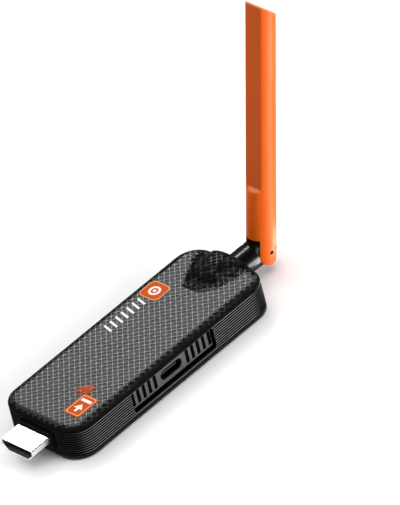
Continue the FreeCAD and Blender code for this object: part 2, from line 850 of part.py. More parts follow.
def blade_grommet():
    ring = upright_rod(blade_bore - grommet_gap, grommet_start, grommet_start + grommet_length)
    hole_end = grommet_start + grommet_length + overshoot
    return leaned(ring.cut(upright_rod(lead_radius + grommet_gap, grommet_start - overshoot, hole_end)))


def blade_lead():
    return leaned(upright_rod(lead_radius, grommet_start, radiator_start))


def radiator():
    end = radiator_start + radiator_length
    tube = upright_rod(radiator_radius, radiator_start, end)
    return leaned(tube.cut(upright_rod(radiator_bore, radiator_start + radiator_floor, end + overshoot)))


pieces = {
    "bottom_cover": bottom_cover(),
    "side_frame": side_frame(),
    "top_cover": top_cover(),
    "port_vent_panel": vent_panel(-1, True),
    "rear_vent_panel": vent_panel(1, False),
    "hdmi_shell": hdmi_shell(),
    "hdmi_insulator": hdmi_insulator(),
    "hdmi_contacts": hdmi_contacts(),
    "hdmi_collar": hdmi_collar(),
    "usb_c_shell": usb_c_shell(),
    "usb_c_tongue": usb_c_tongue(),
    "usb_c_contacts": usb_c_contacts(),
    "main_board": main_board(),
    "board_screws": board_screws(),
    "video_chip": video_chip(),
    "thermal_pad": thermal_pad(),
    "heat_sink": heat_sink(),
    "memory_chips": memory_chips(),
    "radio_chip": radio_chip(),
    "shield_can": shield_can(),
    "clock_crystal": clock_crystal(),
    "power_inductors": power_inductors(),
    "capacitors": capacitors(),
    "aerial_socket": aerial_socket(),
    "aerial_plug": aerial_plug(),
    "board_lead": board_lead(),
    "friction_washer": friction_washer(),
    "swivel_barrel": swivel_barrel(),
    "barrel_lead": barrel_lead(),
    "antenna_blade": antenna_blade(),
    "hinge_pin": hinge_pin(),
    "blade_grommet": blade_grommet(),
    "blade_lead": blade_lead(),
    "radiator": radiator(),
}

for name, shape in pieces.items():
    print(name, "solids", len(shape.Solids), "volume", round(shape.Volume, 2), "valid", shape.isValid())
    shape.exportStep("parts/" + name + ".step")
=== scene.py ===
import math
import bmesh
import bpy
from mathutils import Matrix, Quaternion, Vector, noise


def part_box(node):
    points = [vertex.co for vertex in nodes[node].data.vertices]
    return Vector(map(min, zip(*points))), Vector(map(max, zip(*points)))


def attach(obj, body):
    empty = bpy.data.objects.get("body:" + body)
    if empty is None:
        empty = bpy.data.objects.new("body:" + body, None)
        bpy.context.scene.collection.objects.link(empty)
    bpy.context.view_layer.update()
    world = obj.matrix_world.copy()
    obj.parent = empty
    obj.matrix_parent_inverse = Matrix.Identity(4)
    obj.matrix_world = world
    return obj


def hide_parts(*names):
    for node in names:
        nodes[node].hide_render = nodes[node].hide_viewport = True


# Wireless video transmitter stick: textured top, ribbed sides, plug, socket and folding orange antenna.
# Metres, +X from the plug to the antenna, -Y the side with the power socket, +Z up.
mm = 0.001

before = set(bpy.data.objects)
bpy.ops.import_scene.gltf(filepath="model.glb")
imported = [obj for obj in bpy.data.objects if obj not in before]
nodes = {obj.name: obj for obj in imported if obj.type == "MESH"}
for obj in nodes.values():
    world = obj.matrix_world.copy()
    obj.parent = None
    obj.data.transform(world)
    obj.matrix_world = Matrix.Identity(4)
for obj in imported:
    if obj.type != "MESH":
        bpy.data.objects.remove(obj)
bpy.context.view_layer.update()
print("frame loaded:", len(nodes), "nodes")


# The casing, as the frame has it
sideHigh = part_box("side_frame")[1]
halfLength = sideHigh.x
halfWidth = sideHigh.y
casingCorner = 8.2 * mm     # radius of its corners, seen from above
flatTop = 12.2 * mm         # height of the flat part of the top


def addObject(name, data):
    added = bpy.data.objects.new(name, data)
    bpy.context.scene.collection.objects.link(added)
    return added


# Node helpers, used for shader and geometry trees alike
def addNode(tree, kind, inputs=None, **settings):
    node = tree.nodes.new(kind)
    for key, value in settings.items():
        setattr(node, key, value)
    for key, value in (inputs or {}).items():
        if isinstance(value, bpy.types.NodeSocket):
            tree.links.new(value, node.inputs[key])
        else:
            node.inputs[key].default_value = value
    return node


def calc(tree, operation, a, b=0.0, c=0.0, clamp=False):
    node = addNode(tree, "ShaderNodeMath", {0: a, 1: b, 2: c}, operation=operation, use_clamp=clamp)
    return node.outputs[0]


def hypotenuse(tree, a, b):
    squares = calc(tree, "ADD", calc(tree, "MULTIPLY", a, a), calc(tree, "MULTIPLY", b, b))
    return calc(tree, "SQRT", squares)


def ramp(tree, value, span=(0.0, 1.0), ends=(0.0, 1.0), smooth=False):
    # the first end up to span[0], the second from span[1] on, and a blend between
    return addNode(tree, "ShaderNodeMapRange", {
        "Value": value, "From Min": span[0], "From Max": span[1], "To Min": ends[0], "To Max": ends[1]},
        interpolation_type="SMOOTHSTEP" if smooth else "LINEAR").outputs["Result"]


def splitXyz(tree, place):
    return addNode(tree, "ShaderNodeSeparateXYZ", {"Vector": place}).outputs


def objectPlace(tree):
    return addNode(tree, "ShaderNodeTexCoord").outputs["Object"]


def newGroup(name, kind, inputs, outputs):
    # inputs and outputs: (name, socket type, default) and (name, socket type)
    tree = bpy.data.node_groups.new(name, kind)
    for label, socketType, value in inputs:
        socket = tree.interface.new_socket(label, in_out="INPUT", socket_type=socketType)
        if value is not None:
            socket.default_value = value
    for label, socketType in outputs:
        tree.interface.new_socket(label, in_out="OUTPUT", socket_type=socketType)
    return tree, tree.nodes.new("NodeGroupInput").outputs, tree.nodes.new("NodeGroupOutput").inputs


floatSocket, vectorSocket = "NodeSocketFloat", "NodeSocketVector"
geometrySocket, intSocket = "NodeSocketGeometry", "NodeSocketInt"


# Camera: a long lens at the photograph's angle
cameraSettings = {
    "azimuth": -37.29,
    "elevation": 37.38,
    "roll": 14.45,
    "aimRight": 18.65 * mm,     # from the middle of the casing's underside
    "aimUp": 36.79 * mm,
    "distance": 3.84,
    "halfAngle": 1.2,
    "sensor": 36.0,
    "clipEnd": 20.0,
}


def makeCamera(s):
    a, e, r = (math.radians(s[k]) for k in ("azimuth", "elevation", "roll"))
    back = Vector((math.sin(a) * math.cos(e), -math.cos(a) * math.cos(e), math.sin(e)))
    level = Vector((0, 0, 1)).cross(back).normalized()
    upright = back.cross(level)
    right = level * math.cos(r) - upright * math.sin(r)
    up = level * math.sin(r) + upright * math.cos(r)
    data = bpy.data.cameras.new("photoLens")
    data.sensor_width = s["sensor"]
    data.lens = s["sensor"] / 2 / math.tan(math.radians(s["halfAngle"]))
    data.clip_end = s["clipEnd"]
    camera = addObject("photoCamera", data)
    place = right * s["aimRight"] + up * s["aimUp"] + back * s["distance"]
    camera.matrix_world = Matrix((
        (right.x, up.x, back.x, place.x), (right.y, up.y, back.y, place.y),
        (right.z, up.z, back.z, place.z), (0, 0, 0, 1)))
    bpy.context.scene.camera = camera
    print("camera set")


makeCamera(cameraSettings)


# The photograph's plain tone curve
bpy.context.scene.view_settings.view_transform = "Standard"


# Studio: pale floor and soft boxes; some light the surfaces, others only show as reflections
studioSettings = {
    "floorSize": 12.0,
    "floorShade": 0.95,
    "floorRoughness": 0.9,
    "floorSpecular": 0.1,
    "skyStrength": 0.2,
    "darkLevel": 0.04,
    "darkSky": (                # direction, and the degrees from it where the dark ends and the clear begins
        ((0.48, -0.61, 0.63), 24.0, 52.0),
        ((-0.09, -0.32, 0.94), 22.0, 50.0),
    ),
    # direction from the object, distance, width, height, turn, power and what it reaches
    "lamps": {
        "backKey": ((0.2, 0.62, 0.75), 1.6, 1.0, 1.0, 0.0, 7.0, "diffuse"),
        "skyPanel": ((0.0, 0.1, 1.0), 2.2, 3.0, 3.0, 0.0, 51.0, "diffuse"),
        "backCard": ((0.49, 0.73, 0.485), 1.6, 0.26, 0.74, 17.0, 3.9, "glossy"),
        "frontFill": ((0.45, -0.85, 0.3), 1.5, 0.9, 0.9, 0.0, 24.0, "diffuse"),
        "streakCard": ((0.481, 0.397, 0.781), 1.6, 0.28, 0.28, 0.0, 14.0, "glossy"),
        # these two are for views from the other sides
        "frontCard": ((-0.48, -0.63, 0.5), 1.8, 0.7, 1.2, 0.0, 4.0, "glossy"),
        "leftCard": ((-0.75, 0.62, 0.42), 1.8, 0.7, 1.2, 0.0, 4.0, "glossy"),
    },
    # lying just above the floor beside the antenna: x, y, length, width, turn and power
    "cardHeight": 0.8 * mm,
    "floorCards": {
        "nearCard": (0.0708, -0.0208, 0.03, 0.02, -70.0, 0.07),
        "middleCard": (0.0828, -0.0537, 0.04, 0.046, -70.0, 0.18),
        "farCard": (0.1155, -0.1161, 0.09, 0.1, -67.0, 1.2),
    },
}


def addSoftBox(name, width, height, power):
    data = bpy.data.lights.new(name, "AREA")
    data.shape = "RECTANGLE"
    data.size = width
    data.size_y = height
    data.energy = power
    lamp = addObject(name, data)
    lamp.visible_camera = False
    return lamp


def makeSky(s):
    world = bpy.data.worlds.new("studioSky")
    world.use_nodes = True
    tree = world.node_tree
    toward = addNode(tree, "ShaderNodeTexCoord").outputs["Generated"]
    light = None
    for direction, darkTo, clearFrom in s["darkSky"]:
        facing = addNode(tree, "ShaderNodeVectorMath", {0: toward, 1: Vector(direction).normalized()},
                         operation="DOT_PRODUCT").outputs["Value"]
        span = [math.cos(math.radians(angle)) for angle in (darkTo, clearFrom)]
        clear = ramp(tree, facing, span, (s["darkLevel"], 1.0), smooth=True)
        light = calc(tree, "MULTIPLY", clear, light) if light else clear
    background = tree.nodes["Background"].inputs
    tree.links.new(light, background["Color"])
    background["Strength"].default_value = s["skyStrength"]
    bpy.context.scene.world = world


def makeFloor(s):
    mesh = bpy.data.meshes.new("floor")
    h = s["floorSize"] / 2
    mesh.from_pydata([(-h, -h, 0), (h, -h, 0), (h, h, 0), (-h, h, 0)], [], [(0, 1, 2, 3)])
    floor = addObject("floor", mesh)
    material = bpy.data.materials.new("paleFloor")
    material.use_nodes = True
    shader = material.node_tree.nodes["Principled BSDF"]
    shader.inputs["Base Color"].default_value = (*[s["floorShade"]] * 3, 1)
    shader.inputs["Roughness"].default_value = s["floorRoughness"]
    shader.inputs["Specular IOR Level"].default_value = s["floorSpecular"]
    mesh.materials.append(material)


def makeStudio(s):
    makeSky(s)
    for name, (direction, distance, width, height, turn, power, reach) in s["lamps"].items():
        lamp = addSoftBox(name, width, height, power)
        away = Vector(direction).normalized()
        lamp.rotation_mode = "QUATERNION"
        lamp.rotation_quaternion = away.to_track_quat("Z", "Y") @ Quaternion((0, 0, 1), math.radians(turn))
        lamp.location = away * distance
        lamp.visible_glossy = reach != "diffuse"
        lamp.visible_diffuse = reach != "glossy"
    for name, (x, y, length, width, turn, power) in s["floorCards"].items():
        card = addSoftBox(name, length, width, power)
        card.rotation_euler = (math.pi, 0, math.radians(turn))
        card.location = (x, y, s["cardHeight"])
        card.visible_diffuse = False
    makeFloor(s)
    print("studio set")


makeStudio(studioSettings)


# Shared shader groups
grainSettings = {
    "detail": 3.0,
    "blotchScale": 120.0,
    "blotchDetail": 2.0,
}


def makeGrain(s):
    # moulded plastic's fine grain: masks for roughness and colour, and a bumped normal
    tree, given, out = newGroup(
        "mouldedGrain", "ShaderNodeTree",
        [("Scale", floatSocket, 2500.0), ("Bump", floatSocket, 0.1), ("Depth", floatSocket, 0.02 * mm)],
        [("Mask", floatSocket), ("Blotch", floatSocket), ("Normal", vectorSocket)])
    place = objectPlace(tree)
    fine = addNode(tree, "ShaderNodeTexNoise", {
        "Vector": place, "Scale": given["Scale"], "Detail": s["detail"]}).outputs["Fac"]
    wide = addNode(tree, "ShaderNodeTexNoise", {
        "Vector": place, "Scale": s["blotchScale"], "Detail": s["blotchDetail"]}).outputs["Fac"]
    bump = addNode(tree, "ShaderNodeBump", {
        "Strength": given["Bump"], "Distance": given["Depth"], "Height": fine})
    tree.links.new(fine, out["Mask"])
    tree.links.new(wide, out["Blotch"])
    tree.links.new(bump.outputs["Normal"], out["Normal"])
    return tree


def makeDepthFromEdge():
    # how far a point lies inside the casing's rounded outline: 1 at the outermost skin, 0 at Depth and deeper
    tree, given, out = newGroup(
        "outlineDepth", "ShaderNodeTree",
        [("Half Length", floatSocket, halfLength), ("Half Width", floatSocket, halfWidth),
         ("Corner", floatSocket, casingCorner), ("Depth", floatSocket, 0.35 * mm)],
        [("Skin", floatSocket)])
    xyz = splitXyz(tree, objectPlace(tree))
    reach = []
    for axis, half in (("X", "Half Length"), ("Y", "Half Width")):
        inner = calc(tree, "SUBTRACT", given[half], given["Corner"])
        reach.append(calc(tree, "SUBTRACT", calc(tree, "ABSOLUTE", xyz[axis]), inner))
    length = hypotenuse(tree, *[calc(tree, "MAXIMUM", r, 0.0) for r in reach])
    inward = calc(tree, "MINIMUM", calc(tree, "MAXIMUM", reach[0], reach[1]), 0.0)
    distance = calc(tree, "SUBTRACT", calc(tree, "ADD", length, inward), given["Corner"])
    skin = calc(tree, "ADD", calc(tree, "DIVIDE", distance, given["Depth"]), 1.0, clamp=True)
    tree.links.new(skin, out["Skin"])
    return tree


grainGroup = makeGrain(grainSettings)
edgeDepthGroup = makeDepthFromEdge()


def newMaterial(name):
    material = bpy.data.materials.new(name)
    material.use_nodes = True
    return material, material.node_tree, material.node_tree.nodes["Principled BSDF"]


def useGroup(tree, group, inputs=None):
    return addNode(tree, "ShaderNodeGroup", inputs, node_tree=group).outputs


def blendColour(tree, factor, dark, light):
    # dark where the factor is 0, light where it is 1; each is a colour or a socket
    mix = addNode(tree, "ShaderNodeMix", data_type="RGBA")
    tree.links.new(factor, mix.inputs["Factor"])
    for socket, value in zip([s for s in mix.inputs if s.type == "RGBA"], (dark, light)):
        if isinstance(value, bpy.types.NodeSocket):
            tree.links.new(value, socket)
        else:
            socket.default_value = (*value, 1)
    return next(s for s in mix.outputs if s.type == "RGBA")


def mouldedPlastic(name, dark, light, roughness, scale=2500.0, bump=0.15, specular=0.5):
    material, tree, shader = newMaterial(name)
    grain = useGroup(tree, grainGroup, {"Scale": scale, "Bump": bump})
    if dark == light:
        shader.inputs["Base Color"].default_value = (*dark, 1)
    else:
        tree.links.new(blendColour(tree, grain["Blotch"], dark, light), shader.inputs["Base Color"])
    tree.links.new(ramp(tree, grain["Mask"], ends=roughness), shader.inputs["Roughness"])
    tree.links.new(grain["Normal"], shader.inputs["Normal"])
    shader.inputs["Specular IOR Level"].default_value = specular
    return material


def printedInk(name, dark, light):
    return mouldedPlastic(name, dark, light, (0.7, 0.8), scale=1800.0, bump=0.06, specular=0.1)


def metal(name, dark, light, roughness):
    material = mouldedPlastic(name, dark, light, roughness, scale=900.0, bump=0.05)
    material.node_tree.nodes["Principled BSDF"].inputs["Metallic"].default_value = 1.0
    return material


ribSettings = {
    "pitch": 0.92 * mm,
    "middle": 6.6 * mm,                 # height of the middle groove
    "tipPower": 8.0,                    # how narrow the painted highlight on a tip is
    "grooveRoughness": 0.9,
    "grain": {"Scale": 2200.0, "Bump": 0.12},
    # where the painted highlight line on each rib ends, and its strength before and after
    "highlightLineHalf": ((0.03 * mm, 0.12 * mm), (1.0, 0.08)),
    # painted shade: the lines dim towards both ends of the casing, where less light falls
    "plugFade": ((-43.8 * mm, -40.0 * mm), (0.2, 1.0)),
    "antennaFade": ((35.4 * mm, 39.8 * mm), (1.0, 0.03)),
    # the vent panels have their own depth, from their flat outer faces, and no end along X
    "panelDepth": {"Half Length": 1.0, "Half Width": -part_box("port_vent_panel")[0].y, "Corner": 0.0,
                   "Depth": 0.5 * mm},
}


def ribbedPlastic(name, groove, skin, roughness, specular, s, sizes=None, paintedLines=False):
    # the rib tips, and the vent panels' faces, are painted paler than the grooves and slots: painted
    # highlight on the outer faces and painted shade in the grooves
    material, tree, shader = newMaterial(name)
    grain = useGroup(tree, grainGroup, s["grain"])
    depth = useGroup(tree, edgeDepthGroup, sizes)
    tip = calc(tree, "POWER", depth["Skin"], s["tipPower"])
    if paintedLines:
        # a thin painted highlight runs along each rib, and dies away as painted shade towards the casing's
        # ends
        xyz = splitXyz(tree, objectPlace(tree))
        turns = calc(tree, "DIVIDE", calc(tree, "SUBTRACT", xyz["Z"], s["middle"]), s["pitch"])
        fromMiddle = calc(tree, "PINGPONG", calc(tree, "SUBTRACT", turns, 0.5), 0.5)
        away = calc(tree, "MULTIPLY", fromMiddle, s["pitch"])
        for value, key in ((away, "highlightLineHalf"), (xyz["X"], "plugFade"), (xyz["X"], "antennaFade")):
            tip = calc(tree, "MULTIPLY", tip, ramp(tree, value, *s[key], smooth=True))
    tree.links.new(blendColour(tree, tip, groove, skin), shader.inputs["Base Color"])
    gloss = ramp(tree, grain["Mask"], ends=roughness)
    tree.links.new(ramp(tree, tip, ends=(s["grooveRoughness"], gloss)), shader.inputs["Roughness"])
    tree.links.new(grain["Normal"], shader.inputs["Normal"])
    shader.inputs["Specular IOR Level"].default_value = specular
    return material


barrelSettings = {
    "colour": (0.002, 0.002, 0.002),
    "roughness": (0.24, 0.3),
    "grainScale": 1500.0,
    "grainBump": 0.03,
    "specular": 0.14,
    "polishedTo": (53.7 * mm, 53.95 * mm),
    "dullSide": (-0.3 * mm, 0.3 * mm),
    "dullRoughness": 0.85,
}


def barrelPlastic(name, s):
    # polished along one side of its tube, dull on the other and on the hinge tongue beyond it
    material = mouldedPlastic(name, s["colour"], s["colour"], s["roughness"], s["grainScale"], s["grainBump"],
                              s["specular"])
    tree = material.node_tree
    roughness = tree.nodes["Principled BSDF"].inputs["Roughness"]
    xyz = splitXyz(tree, objectPlace(tree))
    gloss = roughness.links[0].from_socket
    for axis, span in (("X", s["polishedTo"]), ("Y", s["dullSide"])):
        gloss = ramp(tree, xyz[axis], span, (gloss, s["dullRoughness"]))
    tree.links.new(gloss, roughness)
    return material


bladeSettings = {
    "hinge": (58.6 * mm, 7.6 * mm),             # x and z
    "lean": 15.9,
    "length": 85.5 * mm,
    "dark": (0.76, 0.114, 0.009),
    "light": (0.79, 0.12, 0.011),
    "roughness": (0.34, 0.4),
    "grainScale": 1800.0,
    "grainBump": 0.05,
    "specular": 0.04,
    # painted shade on the flat, which faces away from the light
    "flatShadeColour": (0.65, 0.105, 0.014),
    "flatFrom": (22.4 * mm, 23.4 * mm),         # along the blade
    "flatReach": (-3.36 * mm, -3.44 * mm),      # across it
    "footGlintColour": (0.68, 0.25, 0.12),           # painted glint where the flat begins
    "footAlong": 22.3 * mm,
    "footHalf": (0.15 * mm, 0.85 * mm),
    "footReach": (-2.6 * mm, -3.3 * mm),
    "footEnds": ((-3.6 * mm, -2.2 * mm), (0.9 * mm, 2.2 * mm)),
    # painted shade in and round the pin's hole
    "pinHoleShadeColour": (0.008, 0.004, 0.003),
    "pinReach": (0.64 * mm, 0.86 * mm),
    "tipHighlightColour": (0.9, 0.31, 0.13),             # painted highlight along the edge of the slanted end
    "tipSlope": 0.65,
    "tipEdge": (0.5 * mm, 0.85 * mm),
    "tipFace": (0.02 * mm, 0.12 * mm),
    "tipRound": 0.35,                           # its strength off the flat
}


def bladePlastic(name, s):
    # painted shade on its flat and in the pin's hole, painted highlight at the flat's foot and along the
    # slanted tip
    material = mouldedPlastic(name, s["dark"], s["light"], s["roughness"], s["grainScale"], s["grainBump"],
                              s["specular"])
    tree = material.node_tree
    baseColour = tree.nodes["Principled BSDF"].inputs["Base Color"]
    xyz = splitXyz(tree, objectPlace(tree))
    x, z = [calc(tree, "SUBTRACT", xyz[axis], start) for axis, start in zip("XZ", s["hinge"])]
    sine, cosine = math.sin(math.radians(s["lean"])), math.cos(math.radians(s["lean"]))
    along = calc(tree, "ADD", calc(tree, "MULTIPLY", x, sine), calc(tree, "MULTIPLY", z, cosine))
    across = calc(tree, "SUBTRACT", calc(tree, "MULTIPLY", x, cosine), calc(tree, "MULTIPLY", z, sine))
    fromFoot = calc(tree, "ABSOLUTE", calc(tree, "SUBTRACT", along, s["footAlong"]))
    fromPin = hypotenuse(tree, along, across)
    slanted = calc(tree, "ADD", along, calc(tree, "MULTIPLY", across, s["tipSlope"]))
    fromTip = calc(tree, "SUBTRACT", s["length"], slanted)
    rising, falling = (0.0, 1.0), (1.0, 0.0)
    patches = (         # colour, then each bound: value, where it blends, strength before and after
        (s["flatShadeColour"], (along, s["flatFrom"], rising), (across, s["flatReach"], rising)),
        (s["footGlintColour"], (fromFoot, s["footHalf"], falling), (across, s["footReach"], rising),
         (xyz["Y"], s["footEnds"][0], rising), (xyz["Y"], s["footEnds"][1], falling)),
        (s["pinHoleShadeColour"], (fromPin, s["pinReach"], falling)),
        (s["tipHighlightColour"], (fromTip, s["tipEdge"], falling), (fromTip, s["tipFace"], rising),
         (across, s["flatReach"], (s["tipRound"], 1.0))),
    )
    colour = baseColour.links[0].from_socket
    for patchColour, *bounds in patches:
        mask = 1.0
        for value, span, ends in bounds:
            mask = calc(tree, "MULTIPLY", ramp(tree, value, span, ends, smooth=True), mask)
        colour = blendColour(tree, mask, colour, patchColour)
    tree.links.new(colour, baseColour)
    return material


materials = {
    "topPlastic": mouldedPlastic("topPlastic", (0.0014, 0.0014, 0.0016), (0.0034, 0.0034, 0.0036),
                                 (0.55, 0.65), specular=0.045),
    "sidePlastic": ribbedPlastic("sidePlastic", (0.0006, 0.0006, 0.0006), (0.225, 0.225, 0.227),
                                 (0.4, 0.5), 0.05, ribSettings, paintedLines=True),
    "lipPlastic": mouldedPlastic("lipPlastic", (0.002, 0.002, 0.002), (0.004, 0.004, 0.004), (0.4, 0.5),
                                 specular=0.2),
    "panelPlastic": ribbedPlastic("panelPlastic", (0.001, 0.001, 0.001), (0.072, 0.072, 0.074),
                                  (0.5, 0.62), 0.4, ribSettings, ribSettings["panelDepth"]),
    "insulator": mouldedPlastic("insulator", (0.006, 0.006, 0.006), (0.01, 0.01, 0.01), (0.45, 0.6)),
    "barrelPlastic": barrelPlastic("barrelPlastic", barrelSettings),
    "bladePlastic": bladePlastic("bladePlastic", bladeSettings),
    "orangeInk": printedInk("orangeInk", (0.5, 0.065, 0.001), (0.58, 0.08, 0.002)),
    "whiteInk": printedInk("whiteInk", (0.8, 0.8, 0.78), (0.86, 0.86, 0.84)),
    "paleInk": printedInk("paleInk", (0.72, 0.36, 0.2), (0.78, 0.4, 0.23)),
    "plugMetal": metal("plugMetal", (0.86, 0.86, 0.87), (0.92, 0.92, 0.93), (0.2, 0.28)),
    # near-black shell: painted shade in the socket's mouth
    "socketShadeMetal": metal("socketShadeMetal", (0.003, 0.003, 0.0032), (0.006, 0.006, 0.0062), (0.45, 0.55)),
    "goldFlash": metal("goldFlash", (0.83, 0.58, 0.2), (0.9, 0.66, 0.28), (0.2, 0.3)),
    "boardGreen": mouldedPlastic("boardGreen", (0.01, 0.11, 0.04), (0.015, 0.16, 0.06), (0.25, 0.35)),
    "screwSteel": metal("screwSteel", (0.45, 0.45, 0.47), (0.55, 0.55, 0.57), (0.25, 0.35)),
    "chipEpoxy": mouldedPlastic("chipEpoxy", (0.012, 0.012, 0.012), (0.02, 0.02, 0.02), (0.55, 0.7)),
    "padRubber": mouldedPlastic("padRubber", (0.2, 0.24, 0.32), (0.24, 0.28, 0.36), (0.7, 0.85)),
    "sinkAluminium": metal("sinkAluminium", (0.6, 0.6, 0.62), (0.7, 0.7, 0.72), (0.35, 0.5)),
    "canTin": metal("canTin", (0.6, 0.6, 0.61), (0.7, 0.7, 0.71), (0.25, 0.4)),
    "ferrite": mouldedPlastic("ferrite", (0.06, 0.06, 0.06), (0.09, 0.09, 0.09), (0.6, 0.75)),
    "ceramic": mouldedPlastic("ceramic", (0.28, 0.18, 0.09), (0.36, 0.24, 0.13), (0.4, 0.5)),
    "leadJacket": mouldedPlastic("leadJacket", (0.01, 0.01, 0.01), (0.018, 0.018, 0.018), (0.4, 0.5)),
    "washerRubber": mouldedPlastic("washerRubber", (0.014, 0.014, 0.014), (0.02, 0.02, 0.02), (0.7, 0.85)),
    "pinSteel": metal("pinSteel", (0.1, 0.1, 0.11), (0.16, 0.16, 0.17), (0.3, 0.4)),
    "brassTube": metal("brassTube", (0.6, 0.42, 0.16), (0.7, 0.5, 0.2), (0.25, 0.35)),
}

nodeFinish = {
    "bottom_cover": "lipPlastic", "side_frame": "sidePlastic", "top_cover": "topPlastic",
    "port_vent_panel": "panelPlastic", "rear_vent_panel": "panelPlastic",
    "hdmi_shell": "plugMetal", "hdmi_insulator": "insulator", "hdmi_contacts": "goldFlash",
    "hdmi_collar": "topPlastic", "usb_c_shell": "socketShadeMetal", "usb_c_tongue": "insulator",
    "usb_c_contacts": "goldFlash", "main_board": "boardGreen", "board_screws": "screwSteel",
    "video_chip": "chipEpoxy", "thermal_pad": "padRubber", "heat_sink": "sinkAluminium",
    "memory_chips": "chipEpoxy", "radio_chip": "chipEpoxy", "shield_can": "canTin",
    "clock_crystal": "canTin", "power_inductors": "ferrite", "capacitors": "ceramic",
    "aerial_socket": "goldFlash", "aerial_plug": "goldFlash", "board_lead": "leadJacket",
    "friction_washer": "washerRubber", "swivel_barrel": "barrelPlastic", "barrel_lead": "leadJacket",
    "antenna_blade": "bladePlastic", "hinge_pin": "pinSteel", "blade_grommet": "washerRubber",
    "blade_lead": "leadJacket", "radiator": "brassTube",
}
for nodeName, finish in nodeFinish.items():
    mesh = nodes[nodeName].data
    mesh.materials.clear()
    mesh.materials.append(materials[finish])
print("finishes on", len(nodeFinish), "nodes")


# Diamond texture on the top: square pits turned by 45 degrees between thin ridges
textureSettings = {
    "pitch": 2.475 * mm,                # along X and along Y, from one raised crossing to the next
    "phaseX": -0.6 * mm,                # the raised crossing nearest the middle
    "phaseY": -0.52 * mm,
    "middleX": 0.1 * mm,
    "middleY": 0.3 * mm,
    "lengthX": 88.4 * mm,
    "lengthY": 32.4 * mm,
    "corner": 7.2 * mm,
    "risingHalfWidth": 0.17 * mm,       # ridges that rise towards +X+Y
    "fallingHalfWidth": 0.17 * mm,
    "slope": 0.17 * mm,
    "crown": 0.97,                      # height of a ridge's shoulder, as a share of its crest's
    "crossingHeight": 0.125 * mm,
    "lowCrossingHeight": 0.12 * mm,
    "risingHeight": 0.12 * mm,
    "fallingHeight": 0.11 * mm,
    "pitHeight": 0.01 * mm,
    # painted highlight on the crossings and ridges, and painted shade on the pit floors, by these shares
    "crossingShade": 1.0,
    "lowCrossingShade": 0.6,
    "risingShade": 0.72,
    "fallingShade": 0.7,
    "shoulderShade": 0.85,              # as a share of the crest's
    "paleFloorShade": 0.1,
    "mergeWithin": 0.02 * mm,
    "dropFrom": 50 * mm,
    "dropLength": 100 * mm,
    "skirt": 0.06 * mm,
    # where each finish lies: outside these two the texture runs down the shoulders and is painted dark, as
    # shade
    "brightFrom": -14.4 * mm,
    "brightTo": 14.9 * mm,
    "domeMiddle": (42.2 * mm, 2.6 * mm),        # the dome's skin is dull and painted dark as shade, but for a patch near its top painted lit
    "domeHalf": (15.0 * mm, 10.0 * mm),
    "domeLine": (28.9 * mm, 5.5 * mm, 0.65),    # a point and the slope of the line that bounds it
    "dullFrom": 43.9 * mm,
    "dimFrom": 42.4 * mm,
    "risenFrom": 0.25 * mm,                     # above the flat
    "rimDullFrom": 29.0 * mm,
    "litPatchLow": (39.4 * mm, 0.2 * mm),
    "litPatchHigh": (44.6 * mm, 4.9 * mm),
    "litPatchCut": 42.0 * mm,
    "ragged": 0.3,                              # how uneven these bounds are
    "raggedSize": 0.9 * mm,
    "raggedMoreFrom": 7.5 * mm,
    "raggedMore": 3,
    "raggedLine": 3 * mm,
    "raggedLitPatch": 5 * mm,
    # the finishes' own grain, patches of painted glints, and polish
    "grain": {"Scale": 2200.0, "Bump": 0.1},
    "patchScale": 330.0,
    "patchSpan": (0.42, 0.68),
    "patchBase": 0.1,
    "coatRoughness": 0.16,
}


def makeTile(name, s, crossings, crossingShades, floorShade):
    # one pit with its share of the ridges round it
    # crossings are the heights above and below it, and beside it
    half = s["pitch"] / math.sqrt(2) / 2

    def ring(da, db, heights, shades):
        a, b = half - da, half - db
        places = [(a, b), (0, b), (-a, b), (-a, 0), (-a, -b), (0, -b), (a, -b), (a, 0)]
        return [((p - q) / math.sqrt(2), (p + q) / math.sqrt(2), h, shade)
                for (p, q), h, shade in zip(places, heights, shades)]

    heights = (crossings[0], s["risingHeight"], crossings[1], s["fallingHeight"]) * 2
    shades = (crossingShades[0], s["risingShade"], crossingShades[1], s["fallingShade"]) * 2
    rise, fall, slope = s["risingHalfWidth"], s["fallingHalfWidth"], s["slope"]
    crest = ring(0, 0, heights, shades)
    shoulder = ring(fall, rise, [s["crown"] * h for h in heights], [s["shoulderShade"] * v for v in shades])
    floor = ring(fall + slope, rise + slope, [s["pitHeight"]] * 8, [floorShade] * 8)
    points = crest + shoulder + floor
    faces = []
    for base in (0, 8):
        faces += [(base + k, base + 8 + k, base + 8 + (k + 1) % 8, base + (k + 1) % 8) for k in range(8)]
    faces.append(tuple(range(16, 24)))
    mesh = bpy.data.meshes.new(name)
    mesh.from_pydata([p[:3] for p in points], [], faces)
    mesh.attributes.new("ridge", "FLOAT", "POINT").data.foreach_set("value", [p[3] for p in points])
    mesh.attributes.new("crest", "INT", "FACE").data.foreach_set("value", [1] * 8 + [0] * 9)
    if mesh.polygons[-1].normal.z < 0:
        mesh.flip_normals()
    mesh.update()
    return addObject(name, mesh)


